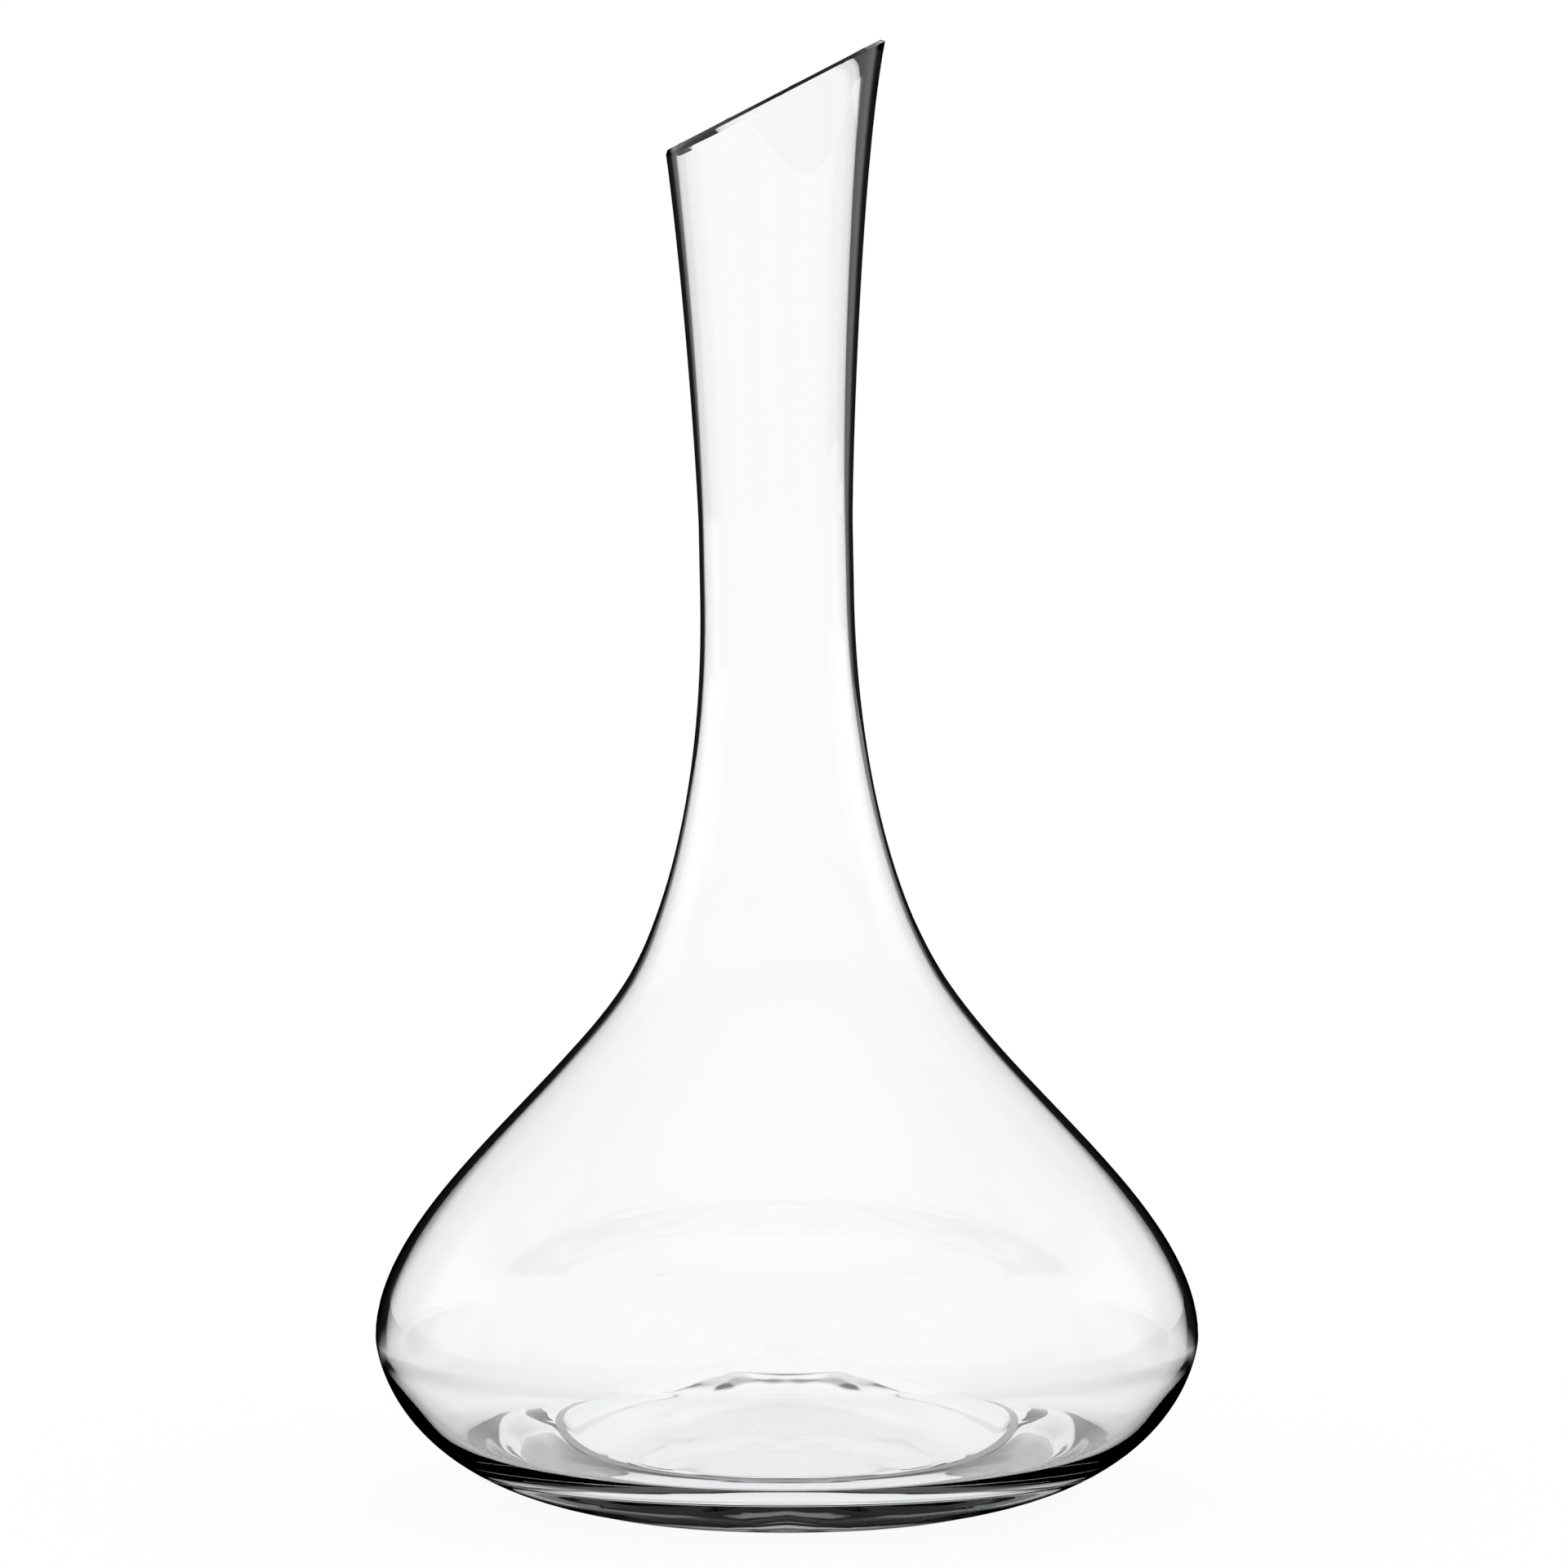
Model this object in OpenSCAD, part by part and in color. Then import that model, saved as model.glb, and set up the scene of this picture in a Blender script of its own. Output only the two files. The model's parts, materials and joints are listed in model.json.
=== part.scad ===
// Wine decanter: one piece of blown clear glass, with a broad bowl, a slim neck and a slanted lip.
// Millimetres, +Z up. The origin is the centre of the foot ring, on the table.
// The outline is a chain of smooth curves. A hold is how far a curve keeps its direction at a station.

/* [Foot] */
// Outer radius of the ring that the decanter stands on
foot_r = 49; // [40:0.5:56]
// Width of that ring
foot_ring_w = 2; // [1.5:0.5:8]
// Rise of the hollow under the base
punt_h = 9; // [6:0.5:16]
// Slope of the hollow where it meets the ring, in degrees
punt_angle = 13; // [9:1:24]
// Hold of the hollow at the ring
punt_edge_hold = 7.5; // [5:0.5:14]
// Hold of the hollow at its crown
punt_crown_hold = 19.5; // [10:0.5:26]

/* [Bowl outside] */
// Slope of the underside where it leaves the foot ring, in degrees
heel_angle = 10; // [6:0.5:14]
// How far inside the widest ring the underside turns up
heel_tuck = 4.2; // [2:0.2:10]
// Radius of the bowl at its widest
belly_r = 95; // [84:0.5:110]
// Height of the widest ring above the table
belly_h = 38.2; // [34:0.2:46]
// Hold of the outline below the widest ring
belly_hold_low = 3.5; // [2:0.5:10]
// Hold of the outline above the widest ring
belly_hold_up = 27.4; // [20:0.2:34]
// Radius of the shoulder, where the bowl becomes the neck
shoulder_r = 37.8; // [33:0.2:43]
// Height of the shoulder above the table
shoulder_h = 119; // [110:0.5:130]
// Slope of the outline at the shoulder, in degrees from upright
shoulder_slope = 34; // [30:0.5:38]
// Hold of the outline below the shoulder
shoulder_hold_low = 31.8; // [24:0.2:38]
// Hold of the outline above the shoulder
shoulder_hold_up = 20; // [14:0.5:26]

/* [Neck outside] */
// Height of the lower end of the straight throat
throat_h = 209; // [196:0.5:220]
// Length of the straight throat
throat_len = 16; // [8:0.5:24]
// Hold of the outline below the throat
throat_hold_low = 41.5; // [30:0.5:52]
// Hold of the outline above the throat
throat_hold_up = 9.5; // [3:0.5:20]
// Height at which the slanted lip crosses the middle of the neck
lip_h = 323; // [300:1:345]
// Outer radius of the mouth at the high side of the lip
lip_r = 27.4; // [23:0.2:32]
// Slant of the lip, in degrees from square across the neck
lip_slant = 26.2; // [12:0.2:34]
// Slope of the mouth at the high side of the lip, in degrees from upright
lip_flare = 12.5; // [8:0.5:16]
// Hold of the outline below the lip
lip_hold = 30; // [20:0.5:40]
// Lean of the neck, in degrees
neck_lean = 1.12; // [0.6:0.02:2]

/* [Glass] */
// Radius of the bore through the straight throat
bore_r = 16.3; // [13:0.1:19]
// Thickness of the glass at the throat
throat_wall = 1.4; // [1.2:0.1:3]
// Thickness of the glass at the lip
lip_wall = 4.4; // [3:0.1:5]
// Thickness of the glass at the shoulder
shoulder_wall = 1.7; // [1.2:0.05:3]
// Thickness of the glass at the widest ring
belly_wall = 2.3; // [1.6:0.1:4]
// Thickness of the glass at the heel, under the lowest ring of the floor
heel_wall = 5.2; // [3:0.1:7]
// Thickness of the glass at the middle of the base
base_wall = 23; // [12:0.5:26]
// Hold of the inner wall below the widest ring
wall_hold_low = 9.8; // [7:0.1:14]
// Hold of the floor outside its lowest ring
floor_hold_out = 9.5; // [5:0.5:12]
// Hold of the floor inside its lowest ring
floor_hold_in = 5.5; // [3:0.5:14]
// Hold of the floor at its crown
floor_crown_hold = 26.7; // [14:0.1:34]
// Lean of the bore, in degrees
bore_lean = 1.23; // [0.6:0.01:2]
// Hold of the bore below the throat
bore_hold_low = 37; // [28:0.5:48]
// Hold of the bore above the throat
bore_hold_up = 35; // [20:0.5:45]
// Slope of the bore at the high side of the lip, in degrees from upright
bore_flare = 6; // [4:0.2:10]
// Hold of the bore below the lip
bore_lip_hold = 33; // [20:0.5:42]

/* [Hidden] */

curve_steps = 20;       // straight pieces in each curve
round_steps = 180;      // straight pieces round a full turn
heel_station = 0.24;    // where along the underside's curve the floor is lowest
trim = 8;               // spare neck above the lip, which the slanted cut takes off
joint_spare = 1;        // degrees by which the round joint under the neck outreaches the lean
cut_reach = 6;          // width of the slanted cut's block, in radii of the mouth

across = [1, 0];
upward = [0, 1];

// Direction at an angle above level
function level(angle) = [cos(angle), sin(angle)];
// Direction at an angle outwards from upright
function upright(angle) = [sin(angle), cos(angle)];

function bezier_point(a, b, c, d, t) =
    pow(1 - t, 3) * a + 3 * pow(1 - t, 2) * t * b + 3 * (1 - t) * t * t * c + pow(t, 3) * d;
function bezier_slope(a, b, c, d, t) =
    pow(1 - t, 2) * (b - a) + 2 * (1 - t) * t * (c - b) + t * t * (d - c);
// Points of a curve, without its first, which the curve before it already has
function bezier(a, b, c, d) =
    [for (i = [1 : curve_steps]) bezier_point(a, b, c, d, i / curve_steps)];

// Stations of the outside
foot = [foot_r, 0];
ring_in = [foot_r - foot_ring_w, 0];
punt_crown = [0, punt_h];
belly = [belly_r, belly_h];
shoulder = [shoulder_r, shoulder_h];
throat_r = bore_r + throat_wall;
throat_low = [throat_r, throat_h];
throat_high = [throat_r, throat_h + throat_len];
lip_high_h = lip_h + lip_r * tan(lip_slant);
lip = [lip_r, lip_high_h];

// The shoulder's surface points at this spot on the axis, so a neck that leans about it stays in touch
shoulder_out = level(shoulder_slope);
pivot_h = shoulder_h - shoulder_r * tan(shoulder_slope);
pivot = [0, pivot_h];
joint_arc = max(neck_lean, bore_lean) + joint_spare;

// The underside's curve, and the floor's lowest ring above it
heel_hold = [belly_r - heel_tuck, (belly_r - heel_tuck - foot_r) * tan(heel_angle)];
belly_low = belly - belly_hold_low * upward;
heel_at = bezier_point(foot, heel_hold, belly_low, belly, heel_station);
heel_along = bezier_slope(foot, heel_hold, belly_low, belly, heel_station);
heel_in = [-heel_along.y, heel_along.x] / norm(heel_along);

// Stations of the inside
inner_belly = belly - belly_wall * across;
inner_shoulder = shoulder - shoulder_wall * shoulder_out;
inner_throat_low = [bore_r, throat_h];
inner_throat_high = [bore_r, throat_h + throat_len];
inner_lip = lip - lip_wall * across;
floor_low = heel_at + heel_wall * heel_in;
floor_crown = punt_crown + base_wall * upward;

// Curves of the outside, from the crown of the hollow to the shoulder
punt_curve = bezier(punt_crown, punt_crown + punt_crown_hold * across,
    ring_in + punt_edge_hold * [-cos(punt_angle), sin(punt_angle)], ring_in);
heel_curve = bezier(foot, heel_hold, belly_low, belly);
function bowl_side(belly_at, shoulder_at) = bezier(belly_at, belly_at + belly_hold_up * upward,
    shoulder_at - shoulder_hold_low * upright(-shoulder_slope), shoulder_at);

// Curves of the neck, for the outside and the bore alike
function neck_rise(shoulder_at, throat_at, hold_low) = bezier(shoulder_at,
    shoulder_at + shoulder_hold_up * upright(-shoulder_slope), throat_at - hold_low * upward, throat_at);
function mouth_flare(throat_at, lip_at, hold_up, flare, hold_lip) = bezier(throat_at,
    throat_at + hold_up * upward, lip_at - hold_lip * upright(flare), lip_at);
function mouth_top(lip_at, flare) = lip_at + trim / cos(flare) * upright(flare);

// The neck's outline on the outside, and the bore's
neck_outline = concat([pivot, shoulder], neck_rise(shoulder, throat_low, throat_hold_low), [throat_high],
    mouth_flare(throat_high, lip, throat_hold_up, lip_flare, lip_hold), [mouth_top(lip, lip_flare)]);
bore_outline = concat([pivot, inner_shoulder], neck_rise(inner_shoulder, inner_throat_low, bore_hold_low),
    [inner_throat_high],
    mouth_flare(inner_throat_high, inner_lip, bore_hold_up, bore_flare, bore_lip_hold),
    [mouth_top(inner_lip, bore_flare)]);

// Curves of the inside, from the floor's crown to the widest ring
floor_curve = bezier(floor_crown, floor_crown + floor_crown_hold * across,
    floor_low - floor_hold_in * across, floor_low);
inner_heel_curve = bezier(floor_low, floor_low + floor_hold_out * across,
    inner_belly - wall_hold_low * upward, inner_belly);

// Round cap above the shoulder, on which the leaning neck sits
function joint_cap(shoulder_at) = [for (i = [1 : curve_steps])
    pivot + norm(shoulder_at - pivot) * level(shoulder_slope + joint_arc * i / curve_steps)];
function closed(points) = concat(points, [[0, points[len(points) - 1].y]]);

module leaning(angle) {
    translate([0, 0, pivot_h]) rotate([0, -angle, 0]) translate([0, 0, -pivot_h]) children();
}

// Bowl, solid from the table up to the shoulder's round cap
module bowl_form() {
    rotate_extrude($fn = round_steps) polygon(closed(concat([punt_crown], punt_curve, [foot], heel_curve,
        bowl_side(belly, shoulder), joint_cap(shoulder))));
}

// Hollow of the bowl
module bowl_hollow() {
    rotate_extrude($fn = round_steps) polygon(closed(concat([floor_crown], floor_curve, inner_heel_curve,
        bowl_side(inner_belly, inner_shoulder), joint_cap(inner_shoulder))));
}

// A neck from the shoulder up, solid, with its spare length above the lip
module neck_solid(outline) {
    rotate_extrude($fn = round_steps) polygon(closed(outline));
}

// What the slanted cut takes off above the lip
module lip_cut() {
    cut_w = cut_reach * lip_r;
    leaning(neck_lean) translate([0, 0, lip_h]) rotate([0, -lip_slant, 0])
        translate([-cut_w / 2, -cut_w / 2, 0]) cube(cut_w);
}

module glass_vessel() {
    color([0.86, 0.91, 0.92, 0.4]) difference() {
        union() {
            bowl_form();
            leaning(neck_lean) neck_solid(neck_outline);
        }
        bowl_hollow();
        leaning(bore_lean) neck_solid(bore_outline);
        lip_cut();
    }
}

glass_vessel();
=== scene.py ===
# Wine decanter: one piece of blown clear glass, with a broad bowl, a slim neck and a slanted lip.
# Metres, +Z up. The origin is the centre of the foot ring, on the table.
# The outline is a chain of smooth curves. A hold is how far a curve keeps its direction at a station.

import json
import math

import bpy
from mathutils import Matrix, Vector


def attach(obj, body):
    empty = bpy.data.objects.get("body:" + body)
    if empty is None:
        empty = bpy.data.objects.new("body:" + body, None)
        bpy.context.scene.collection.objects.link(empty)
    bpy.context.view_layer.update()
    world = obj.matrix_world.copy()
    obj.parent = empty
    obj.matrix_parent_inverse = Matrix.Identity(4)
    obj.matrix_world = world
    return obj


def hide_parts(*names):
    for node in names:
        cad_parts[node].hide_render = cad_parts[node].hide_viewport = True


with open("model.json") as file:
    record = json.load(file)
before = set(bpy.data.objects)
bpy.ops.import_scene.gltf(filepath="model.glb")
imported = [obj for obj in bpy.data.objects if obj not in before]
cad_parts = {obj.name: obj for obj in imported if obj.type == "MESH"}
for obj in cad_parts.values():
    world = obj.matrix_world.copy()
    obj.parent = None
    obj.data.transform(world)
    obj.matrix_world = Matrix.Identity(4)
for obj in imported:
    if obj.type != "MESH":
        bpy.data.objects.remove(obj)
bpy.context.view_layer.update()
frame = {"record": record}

MM = 0.001
WHITE = (1, 1, 1, 1)

# Sizes that the frame gives
mounts = {mount["name"]: mount for mount in frame["record"]["mounts"]}
BORE_R = mounts["throat_bore"]["dims"]["r_mm"] * MM
THROAT_LEN = mounts["throat_bore"]["dims"]["length_mm"] * MM
bore_axis = mounts["throat_bore"]["axis"]
BORE_LEAN = math.atan2(-bore_axis[0], bore_axis[2])

# Foot and the hollow under it
FOOT_R = 49 * MM
FOOT_RING_W = 2 * MM
PUNT_H = 9 * MM
PUNT_ANGLE = math.radians(13)
PUNT_EDGE_HOLD = 7.5 * MM
PUNT_CROWN_HOLD = 19.5 * MM

# Outside of the bowl
HEEL_ANGLE = math.radians(10)
HEEL_TUCK = 4.2 * MM
BELLY_R = 95 * MM
BELLY_H = 38.2 * MM
BELLY_HOLD_LOW = 3.5 * MM
BELLY_HOLD_UP = 27.4 * MM
SHOULDER_R = 37.8 * MM
SHOULDER_H = 119 * MM
SHOULDER_SLOPE = math.radians(34)
SHOULDER_HOLD_LOW = 31.8 * MM
SHOULDER_HOLD_UP = 20 * MM

# Outside of the neck
THROAT_H = 209 * MM
THROAT_HOLD_LOW = 41.5 * MM
THROAT_HOLD_UP = 9.5 * MM
LIP_H = 323 * MM
LIP_R = 27.4 * MM
LIP_SLANT = math.radians(26.2)
LIP_FLARE = math.radians(12.5)
LIP_HOLD = 30 * MM
NECK_LEAN = math.radians(1.12)

# Thickness of the glass, and the inside
THROAT_WALL = 1.4 * MM
LIP_WALL = 4.4 * MM
SHOULDER_WALL = 1.7 * MM
BELLY_WALL = 2.3 * MM
HEEL_WALL = 5.2 * MM
BASE_WALL = 23 * MM
WALL_HOLD_LOW = 9.8 * MM
FLOOR_HOLD_OUT = 9.5 * MM
FLOOR_HOLD_IN = 5.5 * MM
FLOOR_CROWN_HOLD = 26.7 * MM
BORE_HOLD_LOW = 37 * MM
BORE_HOLD_UP = 35 * MM
BORE_FLARE = math.radians(6)
BORE_LIP_HOLD = 33 * MM
# Share of the underside's curve at which the floor is lowest
HEEL_STATION = 0.24

# The lip: spare neck that the slanted cut takes off, rings below the cut that follow its slant,
# the bevel at the inner edge, and how far the outer edge is broken
LIP_TRIM = 8 * MM
LIP_LOOPS = [3 * MM, 7 * MM, 12 * MM, 18 * MM, 25 * MM]
LIP_BEVEL_H = 2.0 * MM
LIP_BEVEL_W = 1.8 * MM
LIP_ROUNDING = 0.8 * MM

# The neck leans over in shares, which are spread above and below the shoulder
LEAN_STEPS = 12
LEAN_REACH = 14 * MM

# Faint ripples that the blowing left in the floor: radius of the ring, reach and rise of the ripple,
# and lobes round the ring if it waves
FLOOR_RIPPLES = [
    (12 * MM, 6 * MM, -0.3 * MM, 0),
    (25 * MM, 11 * MM, 0.2 * MM, 9),
    (40 * MM, 9 * MM, 0.25 * MM, 14),
]
# Share of the wave's height above which a point of the ring is moved
RIPPLE_CREST = 0.7

# How finely the glass is drawn
ROUND_STEPS = 192
CURVE_STEPS = 32
FLOOR_STEPS = 60
PUNT_STEPS = 16
STRAIGHT_STEPS = 2
TRIM_STEPS = 1
SMOOTH_ANGLE = math.radians(25)
# Distance under which two points are one
MERGE = 0.001 * MM

# Stations of the outline, each a radius and a height
ACROSS = Vector((1, 0))
UPWARD = Vector((0, 1))
foot = Vector((FOOT_R, 0))
ring_in = Vector((FOOT_R - FOOT_RING_W, 0))
punt_crown = Vector((0, PUNT_H))
belly = Vector((BELLY_R, BELLY_H))
shoulder = Vector((SHOULDER_R, SHOULDER_H))
throat_low = Vector((BORE_R + THROAT_WALL, THROAT_H))
throat_high = throat_low + THROAT_LEN * UPWARD
lip = Vector((LIP_R, LIP_H + LIP_R * math.tan(LIP_SLANT)))
# The shoulder's surface points at this height on the axis, so the neck leans about it
PIVOT_H = SHOULDER_H - SHOULDER_R * math.tan(SHOULDER_SLOPE)


def upright(angle):
    """Direction at an angle outwards from upright."""
    return Vector((math.sin(angle), math.cos(angle)))


def level(angle):
    """Direction at an angle above level."""
    return Vector((math.cos(angle), math.sin(angle)))


def bezier_point(a, b, c, d, t):
    """Point of a curve at a share of its way."""
    return a * (1 - t) ** 3 + b * 3 * (1 - t) ** 2 * t + c * 3 * (1 - t) * t ** 2 + d * t ** 3


def bezier_slope(a, b, c, d, t):
    """Direction of a curve at a share of its way."""
    return (b - a) * (1 - t) ** 2 + (c - b) * 2 * (1 - t) * t + (d - c) * t ** 2


# The underside's curve, and the floor's lowest ring above it
heel_run = BELLY_R - HEEL_TUCK - FOOT_R
heel_hold = foot + Vector((heel_run, heel_run * math.tan(HEEL_ANGLE)))
belly_low = belly - BELLY_HOLD_LOW * UPWARD
heel_at = bezier_point(foot, heel_hold, belly_low, belly, HEEL_STATION)
heel_along = bezier_slope(foot, heel_hold, belly_low, belly, HEEL_STATION).normalized()
heel_in = Vector((-heel_along.y, heel_along.x))

# Stations of the inside
inner_belly = belly - BELLY_WALL * ACROSS
inner_shoulder = shoulder - SHOULDER_WALL * level(SHOULDER_SLOPE)
inner_throat_low = Vector((BORE_R, THROAT_H))
inner_throat_high = inner_throat_low + THROAT_LEN * UPWARD
inner_lip = lip - LIP_WALL * ACROSS
floor_low = heel_at + HEEL_WALL * heel_in
floor_crown = punt_crown + BASE_WALL * UPWARD


# A stroke of the outline has a start, the point it heads for, the point it comes from, an end and its steps
def straight(start, end, steps):
    """A straight stroke."""
    third = (end - start) / 3
    return (start, start + third, end - third, end, steps)


def bowl_side(belly_at, shoulder_at):
    """From the widest ring up to the shoulder."""
    return (
        belly_at,
        belly_at + BELLY_HOLD_UP * UPWARD,
        shoulder_at - SHOULDER_HOLD_LOW * upright(-SHOULDER_SLOPE),
        shoulder_at,
        CURVE_STEPS,
    )


def neck_rise(shoulder_at, throat_at, hold_low):
    """From the shoulder up to the straight throat."""
    return (
        shoulder_at,
        shoulder_at + SHOULDER_HOLD_UP * upright(-SHOULDER_SLOPE),
        throat_at - hold_low * UPWARD,
        throat_at,
        CURVE_STEPS,
    )


def mouth_flare(throat_at, lip_at, hold_up, flare, hold_lip):
    """From the throat out to the high side of the lip."""
    return (
        throat_at,
        throat_at + hold_up * UPWARD,
        lip_at - hold_lip * upright(flare),
        lip_at,
        CURVE_STEPS,
    )


def mouth_top(lip_at, flare):
    """The spare neck above the lip."""
    return straight(lip_at, lip_at + LIP_TRIM / math.cos(flare) * upright(flare), TRIM_STEPS)


# The outside from the hollow under the base to the mouth, and the inside from the floor to the mouth
OUTSIDE = [
    (
        punt_crown,
        punt_crown + PUNT_CROWN_HOLD * ACROSS,
        ring_in + PUNT_EDGE_HOLD * Vector((-math.cos(PUNT_ANGLE), math.sin(PUNT_ANGLE))),
        ring_in,
        PUNT_STEPS,
    ),
    straight(ring_in, foot, STRAIGHT_STEPS),
    (foot, heel_hold, belly_low, belly, CURVE_STEPS),
    bowl_side(belly, shoulder),
    neck_rise(shoulder, throat_low, THROAT_HOLD_LOW),
    straight(throat_low, throat_high, STRAIGHT_STEPS),
    mouth_flare(throat_high, lip, THROAT_HOLD_UP, LIP_FLARE, LIP_HOLD),
    mouth_top(lip, LIP_FLARE),
]
INSIDE = [
    (
        floor_crown,
        floor_crown + FLOOR_CROWN_HOLD * ACROSS,
        floor_low - FLOOR_HOLD_IN * ACROSS,
        floor_low,
        FLOOR_STEPS,
    ),
    (
        floor_low,
        floor_low + FLOOR_HOLD_OUT * ACROSS,
        inner_belly - WALL_HOLD_LOW * UPWARD,
        inner_belly,
        CURVE_STEPS,
    ),
    bowl_side(inner_belly, inner_shoulder),
    neck_rise(inner_shoulder, inner_throat_low, BORE_HOLD_LOW),
    straight(inner_throat_low, inner_throat_high, STRAIGHT_STEPS),
    mouth_flare(inner_throat_high, inner_lip, BORE_HOLD_UP, BORE_FLARE, BORE_LIP_HOLD),
    mouth_top(inner_lip, BORE_FLARE),
]


def leaned(point, angle):
    """A point of the outline's plane, leaned to -X about the pivot."""
    offset = Vector((point.x, point.y - PIVOT_H))
    return Vector((
        offset.x * math.cos(angle) - offset.y * math.sin(angle),
        PIVOT_H + offset.x * math.sin(angle) + offset.y * math.cos(angle),
    ))


def in_space(point):
    """A point of the outline's plane as a point in space."""
    return Vector((point.x, 0, point.y))


def take_up(*pieces):
    """Selects just these pieces, with the first as the active one."""
    bpy.ops.object.select_all(action="DESELECT")
    for piece in pieces:
        piece.select_set(True)
    bpy.context.view_layer.objects.active = pieces[0]


def choose(piece, kind, wanted):
    """In edit mode, selects just the points or edges that are wanted."""
    bpy.ops.object.mode_set(mode="EDIT")
    bpy.ops.mesh.select_mode(type=kind)
    bpy.ops.mesh.select_all(action="DESELECT")
    bpy.ops.object.mode_set(mode="OBJECT")
    items = {"VERT": piece.data.vertices, "EDGE": piece.data.edges}[kind]
    for item in items:
        item.select = wanted(item)
    bpy.ops.object.mode_set(mode="EDIT")


def draw_stroke(start, start_hold, end_hold, end, steps):
    """One stroke of the outline as a chain of edges."""
    bpy.ops.object.select_all(action="DESELECT")
    bpy.ops.curve.primitive_bezier_curve_add()
    line = bpy.context.object
    spline = line.data.splines[0]
    spline.resolution_u = steps
    first, last = spline.bezier_points
    for point in (first, last):
        point.handle_left_type = "FREE"
        point.handle_right_type = "FREE"
    first.co = in_space(start)
    first.handle_right = in_space(start_hold)
    first.handle_left = in_space(start)
    last.co = in_space(end)
    last.handle_left = in_space(end_hold)
    last.handle_right = in_space(end)
    bpy.ops.object.convert(target="MESH")
    return bpy.context.object


def spin_shell(name, strokes, faces_in):
    """The strokes joined into one outline and spun round the axis."""
    lines = [draw_stroke(*stroke) for stroke in strokes]
    take_up(*lines)
    bpy.ops.object.join()
    shell = lines[0]
    shell.name = name
    bpy.ops.object.mode_set(mode="EDIT")
    bpy.ops.mesh.select_all(action="SELECT")
    bpy.ops.mesh.remove_doubles(threshold=MERGE)
    bpy.ops.mesh.spin(steps=ROUND_STEPS, angle=math.tau, center=(0, 0, 0), axis=(0, 0, 1))
    bpy.ops.mesh.select_all(action="SELECT")
    bpy.ops.mesh.remove_doubles(threshold=MERGE)
    bpy.ops.mesh.normals_make_consistent(inside=faces_in)
    bpy.ops.object.mode_set(mode="OBJECT")
    return shell


def ripple(shell, ring_r, reach, rise, lobes):
    """Raises one ring of the floor softly, or waves it up and down in lobes round the ring."""
    take_up(shell)
    low = [point for point in shell.data.vertices if point.co.z < BELLY_H]
    nearest = min((point.co.xy.length for point in low), key=lambda length: abs(length - ring_r))

    def on_ring(point, side):
        """Whether a point lies on the ring, near a crest or, for the other side, near a dip."""
        wave = math.cos(lobes * math.atan2(point.co.x, -point.co.y)) * side
        return abs(point.co.xy.length - nearest) < MERGE and point.co.z < BELLY_H and wave > RIPPLE_CREST

    for side in (1, -1) if lobes else (1,):
        choose(shell, "VERT", lambda point: on_ring(point, side))
        bpy.ops.transform.translate(
            value=(0, 0, side * rise),
            use_proportional_edit=True,
            use_proportional_connected=True,
            proportional_edit_falloff="SMOOTH",
            proportional_size=reach,
        )
        bpy.ops.object.mode_set(mode="OBJECT")


def slant_lip(shell, point, slant, drop, spread):
    """Cuts the mouth off along the slant, with rings below that follow it, and breaks the lip's edge."""
    take_up(shell)
    plane_normal = Vector((-math.sin(slant), 0, math.cos(slant)))
    plane_point = in_space(point) - drop * plane_normal
    for depth in [0] + LIP_LOOPS:
        bpy.ops.object.mode_set(mode="EDIT")
        bpy.ops.mesh.select_all(action="SELECT")
        bpy.ops.mesh.bisect(
            plane_co=plane_point - depth * plane_normal,
            plane_no=plane_normal,
            clear_outer=(depth == 0),
        )
        bpy.ops.object.mode_set(mode="OBJECT")
    lowest = LIP_LOOPS[-1] - MERGE
    points = shell.data.vertices

    def level_edge(edge):
        """Whether an edge belongs to a level ring, which the slanted rings replace."""
        one, other = (points[index].co for index in edge.vertices)
        middle = (one + other) / 2
        depth = (plane_point - middle).dot(plane_normal)
        return abs(one.z - other.z) < MERGE and MERGE < depth < lowest and middle.z > THROAT_H

    choose(shell, "EDGE", level_edge)
    bpy.ops.mesh.dissolve_edges(use_verts=True)
    bpy.ops.mesh.select_mode(type="EDGE")
    bpy.ops.mesh.select_all(action="DESELECT")
    bpy.ops.mesh.select_non_manifold()
    bpy.ops.mesh.extrude_edges_move(TRANSFORM_OT_translate={"value": drop * plane_normal})
    bpy.ops.object.mode_set(mode="OBJECT")
    rim = [vertex.co for vertex in shell.data.vertices if vertex.select]
    middle = sum(rim, Vector()) / len(rim)
    size = 1 + spread / LIP_R
    bpy.ops.object.mode_set(mode="EDIT")
    bpy.ops.transform.resize(value=(size, size, size), center_override=middle)
    bpy.ops.object.mode_set(mode="OBJECT")


def lean_neck(shell, angle):
    """Leans the neck over in small shares, so that the shoulder bends softly."""
    take_up(shell)
    heights = [point.co.z for point in shell.data.vertices]
    for step in range(LEAN_STEPS):
        start = SHOULDER_H + LEAN_REACH * (2 * step / (LEAN_STEPS - 1) - 1)
        choose(shell, "VERT", lambda point: heights[point.index] > start)
        bpy.ops.transform.rotate(
            value=angle / LEAN_STEPS,
            orient_axis="Y",
            center_override=(0, 0, PIVOT_H),
        )
        bpy.ops.object.mode_set(mode="OBJECT")


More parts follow.
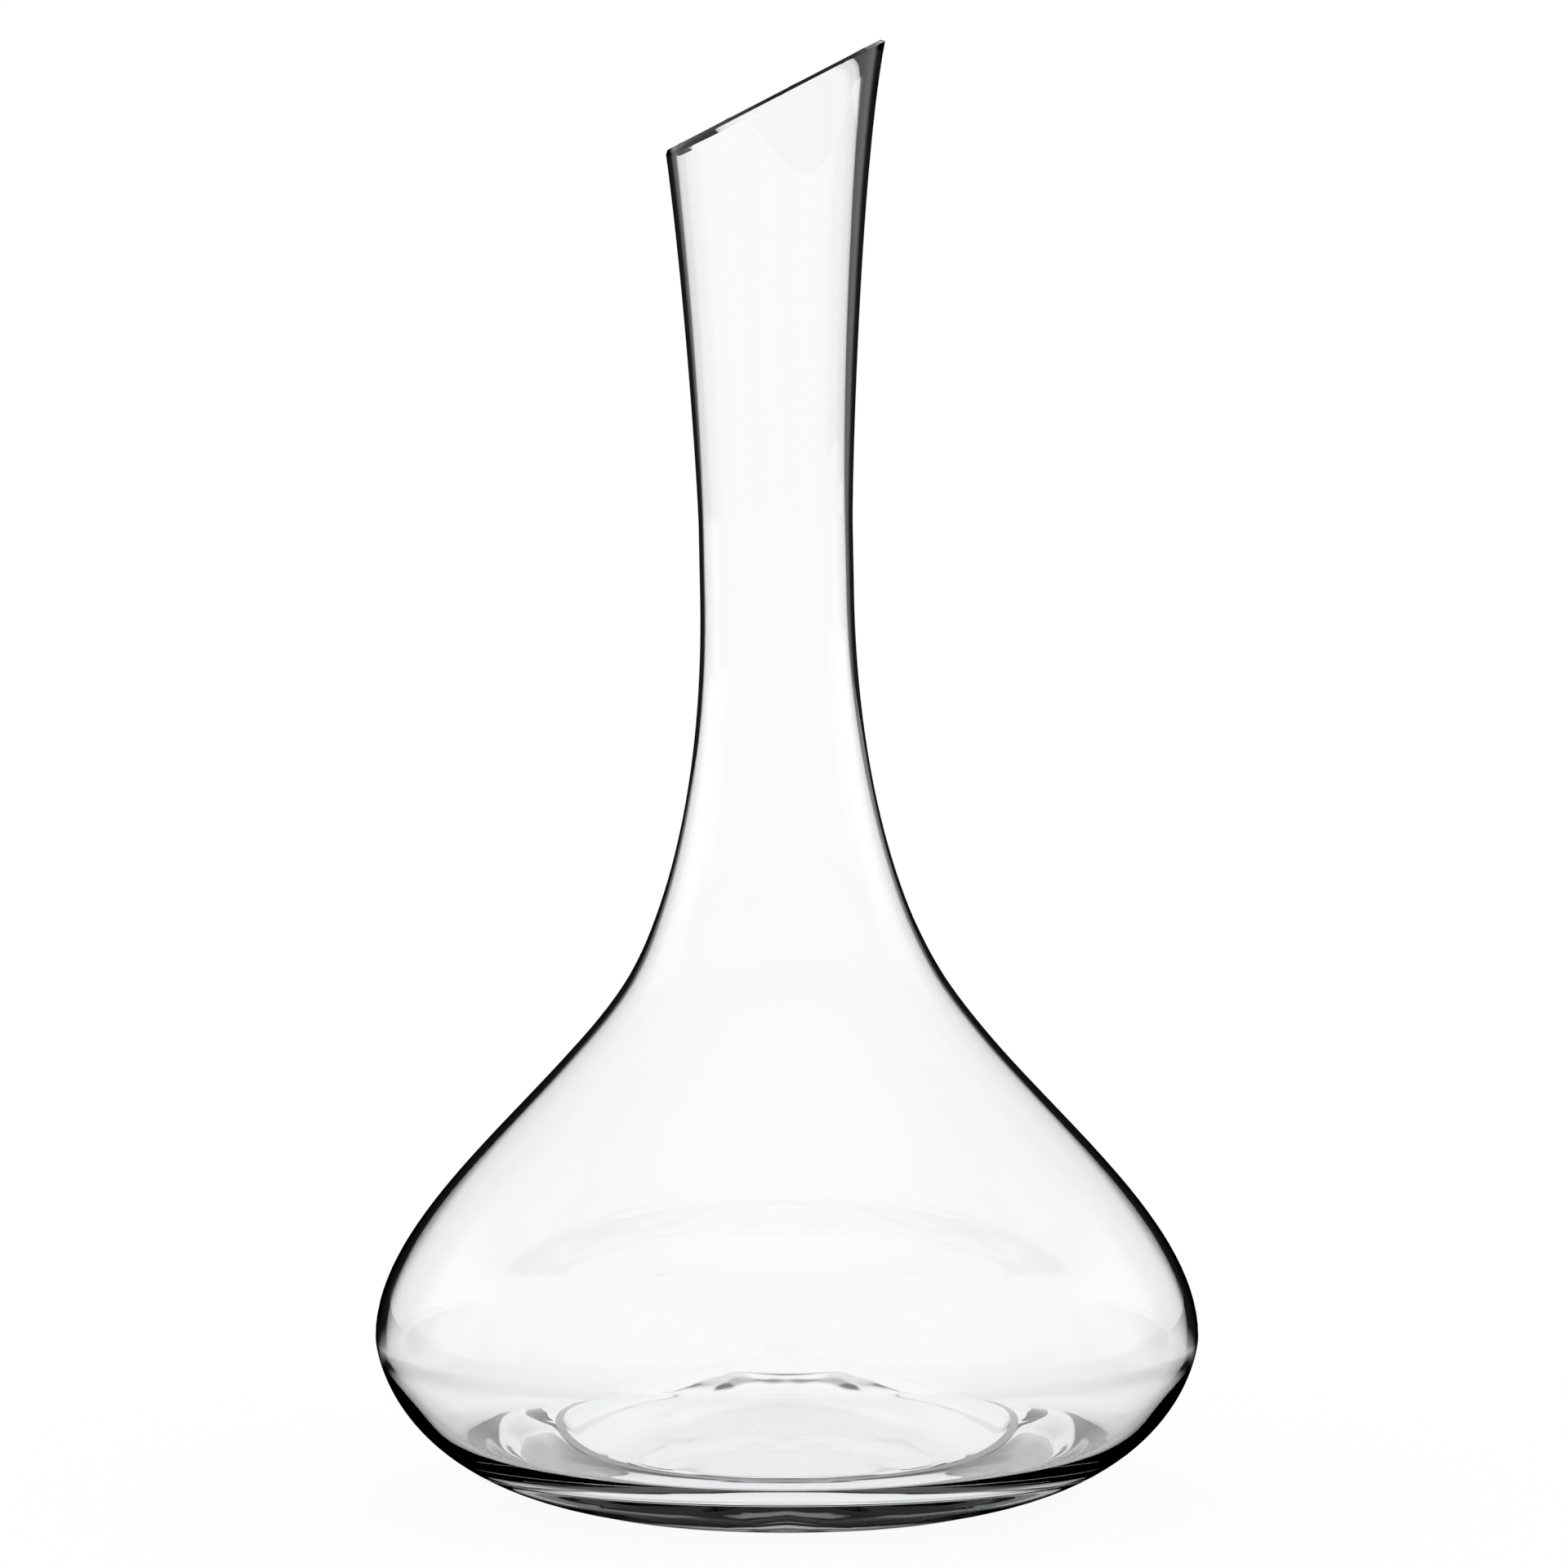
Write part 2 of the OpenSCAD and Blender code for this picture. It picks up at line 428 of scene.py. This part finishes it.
def blow_vessel():
    """The whole decanter: outside and inside, joined at the lip."""
    outside = spin_shell("outside", OUTSIDE, faces_in=False)
    inside = spin_shell("inside", INSIDE, faces_in=True)
    for ring in FLOOR_RIPPLES:
        ripple(inside, *ring)
    lip_point = Vector((0, LIP_H))
    slant_lip(outside, lip_point, LIP_SLANT, LIP_ROUNDING, -LIP_ROUNDING)
    lean_neck(outside, NECK_LEAN)
    # The bore is cut before it leans, and it leans more than the neck, so its cut leans the other way first
    lean_gap = NECK_LEAN - BORE_LEAN
    slant_lip(inside, leaned(lip_point, lean_gap), LIP_SLANT + lean_gap, LIP_BEVEL_H, LIP_BEVEL_W)
    lean_neck(inside, BORE_LEAN)
    take_up(outside, inside)
    bpy.ops.object.join()
    vessel = outside
    vessel.name = "blown_glass"
    vessel.data.name = "blown_glass"
    bpy.ops.object.mode_set(mode="EDIT")
    bpy.ops.mesh.select_mode(type="EDGE")
    bpy.ops.mesh.select_all(action="DESELECT")
    bpy.ops.mesh.select_non_manifold()
    bpy.ops.mesh.bridge_edge_loops()
    bpy.ops.mesh.select_all(action="SELECT")
    bpy.ops.mesh.normals_make_consistent(inside=False)
    bpy.ops.object.mode_set(mode="OBJECT")
    bpy.ops.object.shade_smooth_by_angle(angle=SMOOTH_ANGLE)
    return vessel


vessel = blow_vessel()
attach(vessel, "root")
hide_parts("glass_vessel")


# Clear glass: how it bends light, what its thick parts take out of it, and the waviness left by blowing
GLASS_IOR = 1.5
GLASS_TINT = (0.93, 0.965, 0.985, 1)
TINT_DENSITY = 4.0
WAVE_SCALE = 38.0
WAVE_DETAIL = 2.0
WAVE_HEIGHT = 0.05 * MM
WAVE_STRENGTH = 0.25


def clear_glass():
    """Clear glass with a faint cool tint in its thick parts and a faint waviness of its skin."""
    material = bpy.data.materials.new("clear_glass")
    material.use_nodes = True
    tree = material.node_tree
    shader = tree.nodes["Principled BSDF"]
    shader.inputs["Base Color"].default_value = WHITE
    shader.inputs["Roughness"].default_value = 0
    shader.inputs["IOR"].default_value = GLASS_IOR
    shader.inputs["Transmission Weight"].default_value = 1
    place = tree.nodes.new("ShaderNodeTexCoord")
    waves = tree.nodes.new("ShaderNodeTexNoise")
    waves.inputs["Scale"].default_value = WAVE_SCALE
    waves.inputs["Detail"].default_value = WAVE_DETAIL
    skin = tree.nodes.new("ShaderNodeBump")
    skin.inputs["Strength"].default_value = WAVE_STRENGTH
    skin.inputs["Distance"].default_value = WAVE_HEIGHT
    tree.links.new(place.outputs["Object"], waves.inputs["Vector"])
    tree.links.new(waves.outputs["Fac"], skin.inputs["Height"])
    tree.links.new(skin.outputs["Normal"], shader.inputs["Normal"])
    tint = tree.nodes.new("ShaderNodeVolumeAbsorption")
    tint.inputs["Color"].default_value = GLASS_TINT
    tint.inputs["Density"].default_value = TINT_DENSITY
    tree.links.new(tint.outputs["Volume"], tree.nodes["Material Output"].inputs["Volume"])
    return material


vessel.data.materials.clear()
vessel.data.materials.append(clear_glass())

# Camera: how far off and how high it stands, and the height on the decanter's axis that it looks at
VIEW_DISTANCE = 2.0
VIEW_HEIGHT = 0.325
VIEW_AIM = 0.168
SENSOR = 36
# Where the image has the decanter, in pixels: width of the bowl, column of the axis, row of the table
IMAGE_SIDE = 1920
BELLY_PIXELS = 1005
AXIS_COLUMN = 963.57
TABLE_ROW = 1833.6


def set_camera():
    """The camera on the side of -Y, with the lens and shift that put the decanter where the image has it."""
    bpy.ops.object.camera_add()
    camera = bpy.context.object
    camera.name = "camera"
    pitch = math.atan2(VIEW_HEIGHT - VIEW_AIM, VIEW_DISTANCE)
    table_depth = VIEW_DISTANCE * math.cos(pitch) + VIEW_HEIGHT * math.sin(pitch)
    table_drop = VIEW_HEIGHT * math.cos(pitch) - VIEW_DISTANCE * math.sin(pitch)
    focal_pixels = table_depth * BELLY_PIXELS / (2 * BELLY_R)
    aim_row = TABLE_ROW - focal_pixels * table_drop / table_depth
    camera.location = (0, -VIEW_DISTANCE, VIEW_HEIGHT)
    camera.rotation_euler = (math.pi / 2 - pitch, 0, 0)
    camera.data.sensor_width = SENSOR
    camera.data.lens = SENSOR * focal_pixels / IMAGE_SIDE
    camera.data.shift_x = (IMAGE_SIDE / 2 - AXIS_COLUMN) / IMAGE_SIDE
    camera.data.shift_y = (aim_row - IMAGE_SIDE / 2) / IMAGE_SIDE
    bpy.context.scene.camera = camera


set_camera()

# Light is followed through many walls, and given up after a few turns inside the glass
LIGHT_BOUNCES = 48
INNER_TURNS = 4

scene = bpy.context.scene
scene.view_settings.view_transform = "Standard"
scene.cycles.max_bounces = LIGHT_BOUNCES
scene.cycles.glossy_bounces = INNER_TURNS
scene.cycles.transmission_bounces = LIGHT_BOUNCES

# Studio light: the sky and the table are white wherever the glass is looked straight through. Light that
# the glass turns back meets a darker room, which depends on the way it came: off the outer skin, round
# one wall, or through more glass, as in the thick base. Each limit lies between two whole counts.
ONE_TURN = 0.5
TWO_TURNS = 1.5
ONE_WALL = 2.5

# Sky for the skin's sheen: a dark strip low behind the decanter, lamps low at both sides, less light above.
# The angles are turns from straight behind the decanter, and heights above level.
STRIP_HALF = math.radians(28)
STRIP_SOFT = math.radians(6)
STRIP_TOP = math.radians(8)
STRIP_FADE = math.radians(14)
LAMP_START = math.radians(63)
LAMP_END = math.radians(100)
LAMP_SOFT = math.radians(5)
LAMP_TOP = math.radians(10)
LAMP_FADE = math.radians(24)
LAMP_GLOW = 0.7
HIGH_START = math.radians(40)
HIGH_FULL = math.radians(65)
HIGH_DIM = 0.35

# Sky for the outline: dark, but open high up, with a glow low at both sides
OUTLINE_DARK = 0.015
OUTLINE_TOP = math.radians(45)
OUTLINE_FADE = math.radians(70)
SIDE_START = math.radians(44)
SIDE_FULL = math.radians(56)
SIDE_BACK = math.radians(76)
SIDE_OFF = math.radians(86)
SIDE_TOP = math.radians(20)
SIDE_FADE = math.radians(32)
SIDE_GLOW = 0.6

# Sky for the base: dark, but lit low behind the decanter and all over in front of it
BASE_DARK = 0.12
BASE_BRIGHT = 0.95
BASE_HALF = math.radians(26)
BASE_SOFT = math.radians(10)
BASE_TOP = math.radians(36)
BASE_FADE = math.radians(46)
FRONT_START = math.radians(60)
FRONT_FULL = math.radians(90)

# Table for the sheen and the outline: painted light and shade in the table's glow, bright under the bowl,
# close beside it and clear of it
UNDER_FULL = 77 * MM
UNDER_FADE = 92 * MM
NEAR_FULL = 120 * MM
NEAR_FADE = 170 * MM
CLEAR_START = 190 * MM
CLEAR_FULL = 260 * MM
BESIDE_START = math.radians(34)
BESIDE_FULL = math.radians(50)
FAR_SIDE_START = math.radians(58)
FAR_SIDE_FULL = math.radians(72)

# The table itself: a painted contact shadow darkens its glow in the ring on which the foot stands, and a
# little of it takes the shadow
CONTACT_SHADOW = 0.05
CONTACT_SOFT = 1.5 * MM
FLOOR_COLOUR = 0.08
FLOOR_SIDE = 60


def feed(tree, value, socket):
    """Sets a socket to a plain number, or links it to another node's result."""
    if isinstance(value, (int, float)):
        socket.default_value = value
    else:
        tree.links.new(value, socket)


def calculate(tree, operation, *values):
    """One step of arithmetic."""
    step = tree.nodes.new("ShaderNodeMath")
    step.operation = operation
    for value, socket in zip(values, step.inputs):
        feed(tree, value, socket)
    return step.outputs[0]


def together(tree, operation, first, *others):
    """The same step of arithmetic over several values."""
    for other in others:
        first = calculate(tree, operation, first, other)
    return first


def ramp(tree, value, start, end, start_level=0, end_level=1):
    """Goes softly from one level to the other as the value goes from start to end."""
    slope = tree.nodes.new("ShaderNodeMapRange")
    slope.interpolation_type = "SMOOTHSTEP"
    feed(tree, value, slope.inputs["Value"])
    feed(tree, start, slope.inputs["From Min"])
    feed(tree, end, slope.inputs["From Max"])
    feed(tree, start_level, slope.inputs["To Min"])
    feed(tree, end_level, slope.inputs["To Max"])
    return slope.outputs["Result"]


def either(tree, share, level_off, level_on):
    """One level where the share is 0 and the other where it is 1."""
    blend = tree.nodes.new("ShaderNodeMix")
    blend.data_type = "FLOAT"
    feed(tree, share, blend.inputs["Factor"])
    feed(tree, level_off, blend.inputs["A"])
    feed(tree, level_on, blend.inputs["B"])
    return blend.outputs["Result"]


def light_count(tree, count, limit):
    """1 for light with more reflections or refractions behind it than the limit, and else 0."""
    path = tree.nodes.new("ShaderNodeLightPath")
    return calculate(tree, "GREATER_THAN", path.outputs[count], limit)


def by_path(tree, sheen, outline, base):
    """What turned light meets: one level off the skin, one round a single wall, one through more glass."""
    inside = light_count(tree, "Transmission Depth", ONE_TURN)
    deep = light_count(tree, "Transmission Depth", ONE_WALL)
    return either(tree, inside, sheen, either(tree, deep, outline, base))


def bearings(tree, coordinates):
    """The turn from straight behind the decanter, with the coordinates it comes from, whole and split."""
    place = tree.nodes.new("ShaderNodeTexCoord").outputs[coordinates]
    split = tree.nodes.new("ShaderNodeSeparateXYZ")
    tree.links.new(place, split.inputs[0])
    turn = calculate(tree, "ARCTAN2", split.outputs["X"], split.outputs["Y"])
    return calculate(tree, "ABSOLUTE", turn), place, split.outputs


def sky_sheen(tree, turn, height):
    """Sky that the outer skin mirrors."""
    behind = ramp(tree, turn, STRIP_HALF + STRIP_SOFT, STRIP_HALF - STRIP_SOFT)
    low = ramp(tree, height, math.sin(STRIP_FADE), math.sin(STRIP_TOP))
    open_room = calculate(tree, "SUBTRACT", 1, calculate(tree, "MULTIPLY", behind, low))
    overhead = ramp(tree, height, math.sin(HIGH_START), math.sin(HIGH_FULL), 1, HIGH_DIM)
    lamp_start = ramp(tree, turn, LAMP_START - LAMP_SOFT, LAMP_START + LAMP_SOFT)
    lamp_end = ramp(tree, turn, LAMP_END + LAMP_SOFT, LAMP_END - LAMP_SOFT)
    lamp_low = ramp(tree, height, math.sin(LAMP_FADE), math.sin(LAMP_TOP), 0, LAMP_GLOW)
    lamps = together(tree, "MULTIPLY", lamp_start, lamp_end, lamp_low)
    return calculate(tree, "ADD", calculate(tree, "MULTIPLY", open_room, overhead), lamps)


def sky_outline(tree, ahead, height):
    """Sky that a wall shows along its edge."""
    high = ramp(tree, height, math.sin(OUTLINE_TOP), math.sin(OUTLINE_FADE), OUTLINE_DARK, 1)
    side_start = ramp(tree, ahead, math.cos(SIDE_START), math.cos(SIDE_FULL), 0, SIDE_GLOW)
    side_end = ramp(tree, ahead, math.cos(SIDE_OFF), math.cos(SIDE_BACK))
    side_low = ramp(tree, height, math.sin(SIDE_FADE), math.sin(SIDE_TOP))
    return calculate(tree, "MAXIMUM", high, together(tree, "MULTIPLY", side_start, side_low, side_end))


def sky_base(tree, turn, height):
    """Sky that the thick base shows."""
    behind = ramp(tree, turn, BASE_HALF + BASE_SOFT, BASE_HALF - BASE_SOFT)
    low = ramp(tree, height, math.sin(BASE_FADE), math.sin(BASE_TOP))
    in_front = ramp(tree, turn, FRONT_START, FRONT_FULL)
    lit = calculate(tree, "MAXIMUM", calculate(tree, "MULTIPLY", behind, low), in_front)
    return either(tree, lit, BASE_DARK, BASE_BRIGHT)


def light_studio():
    """The sky: white straight through the glass, and a darker room for light that the glass turns back."""
    world = bpy.data.worlds.new("studio")
    scene.world = world
    world.use_nodes = True
    tree = world.node_tree
    tree.nodes.clear()
    turn, _, direction = bearings(tree, "Generated")
    ahead = direction["Y"]
    height = direction["Z"]
    room = by_path(
        tree,
        sky_sheen(tree, turn, height),
        sky_outline(tree, ahead, height),
        sky_base(tree, turn, height),
    )
    turned = light_count(tree, "Glossy Depth", ONE_TURN)
    sky = tree.nodes.new("ShaderNodeBackground")
    sky.inputs["Color"].default_value = WHITE
    feed(tree, either(tree, turned, 1, room), sky.inputs["Strength"])
    out = tree.nodes.new("ShaderNodeOutputWorld")
    tree.links.new(sky.outputs[0], out.inputs["Surface"])


light_studio()


def contact_shadow(tree, reach):
    """The table's level: 1, but darkened by a painted contact shadow in the ring on which the foot stands.
    """
    ring_start = ramp(tree, reach, ring_in.x - CONTACT_SOFT, ring_in.x)
    ring_end = ramp(tree, reach, foot.x + CONTACT_SOFT, foot.x)
    return either(tree, calculate(tree, "MULTIPLY", ring_start, ring_end), 1, CONTACT_SHADOW)


def turned_floor(tree, turn, reach, ring_shadow):
    """What the table shows to light that the glass turns back: painted pools of light and shade in its glow.
    """
    beside = ramp(tree, turn, BESIDE_START, BESIDE_FULL)
    clear = ramp(tree, reach, CLEAR_START, CLEAR_FULL)
    sheen = calculate(tree, "MULTIPLY", beside, clear)
    under = ramp(tree, reach, UNDER_FADE, UNDER_FULL, OUTLINE_DARK, 1)
    near = ramp(tree, reach, NEAR_FADE, NEAR_FULL)
    close = calculate(tree, "MULTIPLY", beside, near)
    side_start = ramp(tree, turn, FAR_SIDE_START, FAR_SIDE_FULL, 0, SIDE_GLOW)
    side_end = ramp(tree, turn, SIDE_OFF, SIDE_BACK)
    side = together(tree, "MULTIPLY", side_start, side_end, clear)
    outline = together(tree, "MAXIMUM", under, close, side)
    # Light that the glass turns back more than once meets the table's painted contact shadow under the foot
    again = light_count(tree, "Glossy Depth", TWO_TURNS)
    return by_path(tree, sheen, outline, either(tree, again, 1, ring_shadow))


def pale_floor():
    """A pale table that glows nearly white by itself, and takes the shadow on a thin share of paint."""
    material = bpy.data.materials.new("pale_floor")
    material.use_nodes = True
    tree = material.node_tree
    tree.nodes.clear()
    turn, place, _ = bearings(tree, "Object")
    distance = tree.nodes.new("ShaderNodeVectorMath")
    distance.operation = "LENGTH"
    tree.links.new(place, distance.inputs[0])
    reach = distance.outputs["Value"]
    ring_shadow = contact_shadow(tree, reach)
    paint = tree.nodes.new("ShaderNodeBsdfDiffuse")
    paint.inputs["Color"].default_value = (FLOOR_COLOUR, FLOOR_COLOUR, FLOOR_COLOUR, 1)
    glow = tree.nodes.new("ShaderNodeEmission")
    # The painted contact shadow under the foot dims the table's glow
    feed(tree, calculate(tree, "MULTIPLY", ring_shadow, 1 - FLOOR_COLOUR), glow.inputs["Strength"])
    straight_on = tree.nodes.new("ShaderNodeAddShader")
    tree.links.new(paint.outputs[0], straight_on.inputs[0])
    tree.links.new(glow.outputs[0], straight_on.inputs[1])
    turned_on = tree.nodes.new("ShaderNodeEmission")
    feed(tree, turned_floor(tree, turn, reach, ring_shadow), turned_on.inputs["Strength"])
    surface = tree.nodes.new("ShaderNodeMixShader")
    tree.links.new(light_count(tree, "Glossy Depth", ONE_TURN), surface.inputs[0])
    tree.links.new(straight_on.outputs[0], surface.inputs[1])
    tree.links.new(turned_on.outputs[0], surface.inputs[2])
    out = tree.nodes.new("ShaderNodeOutputMaterial")
    tree.links.new(surface.outputs[0], out.inputs["Surface"])
    return material


def lay_floor():
    """The table that the decanter stands on."""
    bpy.ops.object.select_all(action="DESELECT")
    bpy.ops.mesh.primitive_plane_add(size=FLOOR_SIDE)
    floor = bpy.context.object
    floor.name = "floor"
    floor.data.materials.append(pale_floor())


lay_floor()

bpy.context.view_layer.update()
